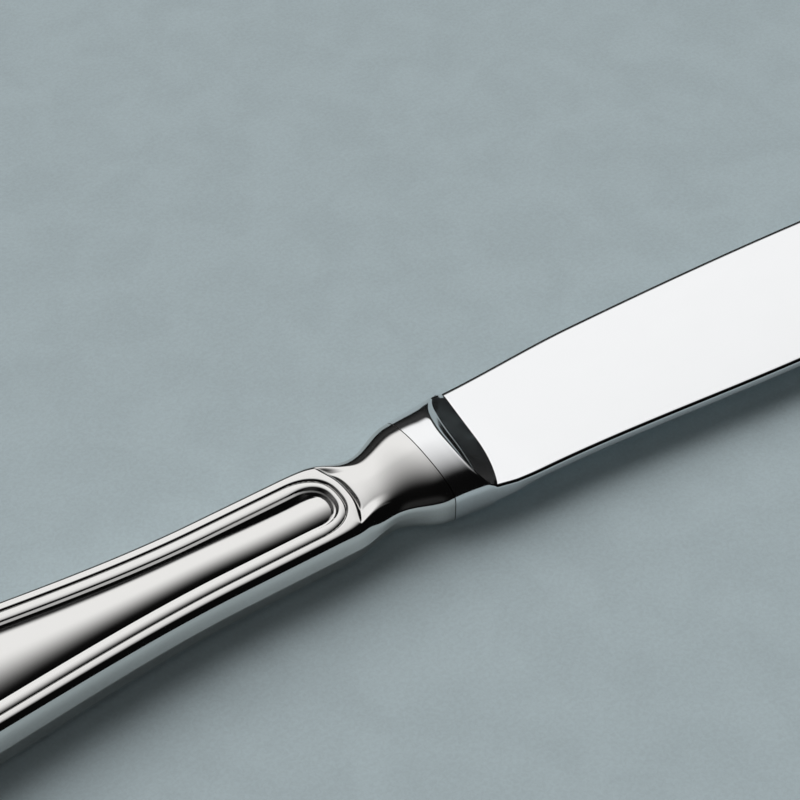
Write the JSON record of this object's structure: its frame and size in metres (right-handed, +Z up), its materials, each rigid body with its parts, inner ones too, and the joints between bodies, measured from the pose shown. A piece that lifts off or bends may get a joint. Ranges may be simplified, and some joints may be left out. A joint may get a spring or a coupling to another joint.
{
  "type": "table knife",
  "caption": "Hollow-handled table knife lying on its side, with a thread border round the handle, a waisted neck and a broad round-ended blade.",
  "frame": {"origin": "under the middle of the knife, on the surface it lies on", "axes": "+X along the knife towards the tip of the blade, +Y towards the cutting edge, +Z up through the thickness"},
  "size_m": [0.2379, 0.0244, 0.0084],
  "materials": {
    "blade_steel": "mirror-polished stainless steel",
    "handle_metal": "mirror-polished white metal, stamped",
    "cement": "matt set cement",
    "braze": "polished silver brazing alloy"
  },
  "bodies": {
    "root": {"blade": "blade_steel", "handle_front_shell": "handle_metal", "handle_back_shell": "handle_metal", "tang_cement": "cement", "seam_braze": "braze"}
  },
  "joints": []
}
